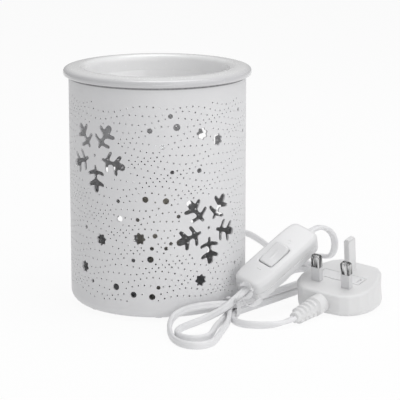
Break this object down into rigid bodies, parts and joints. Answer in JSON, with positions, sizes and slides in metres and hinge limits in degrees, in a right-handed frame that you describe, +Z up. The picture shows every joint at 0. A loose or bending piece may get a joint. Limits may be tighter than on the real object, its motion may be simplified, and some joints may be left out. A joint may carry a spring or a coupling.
{
  "type": "electric wax melt warmer",
  "caption": "White dish on a pierced steel drum with a reflector lamp inside, on a flat flex with a rocker switch and a fused three pin plug.",
  "frame": {"origin": "on the table under the middle of the drum, level with the bottom of the rubber feet", "axes": "+Z up, -Y the front, the flex leaves the drum at +Y"},
  "size_m": [0.2048, 0.2986, 0.154],
  "materials": {
    "dish_glaze": "glossy white glaze",
    "drum_paint": "satin white powder coat",
    "plate_steel": "zinc plated",
    "foot_rubber": "matt",
    "fastener_steel": "zinc plated",
    "holder_ceramic": "unglazed steatite",
    "contact_brass": "bright",
    "lamp_ceramic": "smooth",
    "lamp_mirror": "faceted dichroic reflector",
    "lamp_glass": "clear",
    "lead_sleeve": "woven glass sleeve",
    "case_plastic": "smooth moulded",
    "rocker_plastic": "smooth moulded",
    "flex_pvc": "soft satin PVC",
    "tie_plastic": "coated wire tie",
    "plug_plastic": "smooth moulded",
    "sleeve_plastic": "grey pin sleeve",
    "fuse_ceramic": "plain tube"
  },
  "bodies": {
    "warmer": {"body_shell": "drum_paint", "base_plate": "plate_steel", "rubber_feet": "foot_rubber", "base_screws": "fastener_steel", "base_nuts": "fastener_steel", "holder_bracket": "plate_steel", "bracket_screws": "fastener_steel", "lamp_holder": "holder_ceramic", "holder_contacts": "contact_brass", "terminal_block": "holder_ceramic", "terminal_screws": "fastener_steel", "lamp_leads": "lead_sleeve", "flex_clamp": "case_plastic", "clamp_screw": "fastener_steel", "flex_tail": "flex_pvc", "flex_grommet": "flex_pvc", "lead_flex": "flex_pvc", "flex_hank": "flex_pvc", "twist_tie": "tie_plastic", "switch_base": "case_plastic", "switch_cover": "case_plastic", "switch_contacts": "contact_brass", "switch_screws": "fastener_steel", "switch_tails": "flex_pvc", "switch_flex_top": "flex_pvc", "switch_flex_low": "flex_pvc", "plug_body": "plug_plastic", "plug_blades": "contact_brass", "blade_sleeves": "sleeve_plastic", "earth_pin": "plug_plastic", "fuse_clips": "contact_brass", "plug_relief": "plug_plastic", "plug_flex": "flex_pvc"},
    "dish_body": {"dish": "dish_glaze"},
    "lamp": {"lamp_cap": "lamp_ceramic", "lamp_pins": "fastener_steel", "lamp_reflector": "lamp_mirror", "lamp_capsule": "lamp_glass", "lamp_lens": "lamp_glass"},
    "rocker": {"switch_rocker": "rocker_plastic"},
    "fuse_drawer": {"fuse_carrier": "rocker_plastic", "fuse": "fuse_ceramic"}
  },
  "joints": [
    {"name": "dish_lift", "type": "slide", "parent": "warmer", "child": "dish_body", "axis": [0, 0, 1], "range_m": [0, 0.06]},
    {"name": "lamp_twist", "type": "hinge", "parent": "warmer", "child": "lamp", "pos_m": [0, 0, 0.0575], "axis": [0, 0, 1], "range_deg": [-24, 0]},
    {"name": "rocker_press", "type": "hinge", "parent": "warmer", "child": "rocker", "pos_m": [0.07349, -0.031, 0.03667], "axis": [-0.719, 0.6309, 0.2914], "range_deg": [0, 16]},
    {"name": "fuse_pull", "type": "slide", "parent": "warmer", "child": "fuse_drawer", "axis": [-0.0664, -0.2, 0.9775], "range_m": [0, 0.02]}
  ]
}
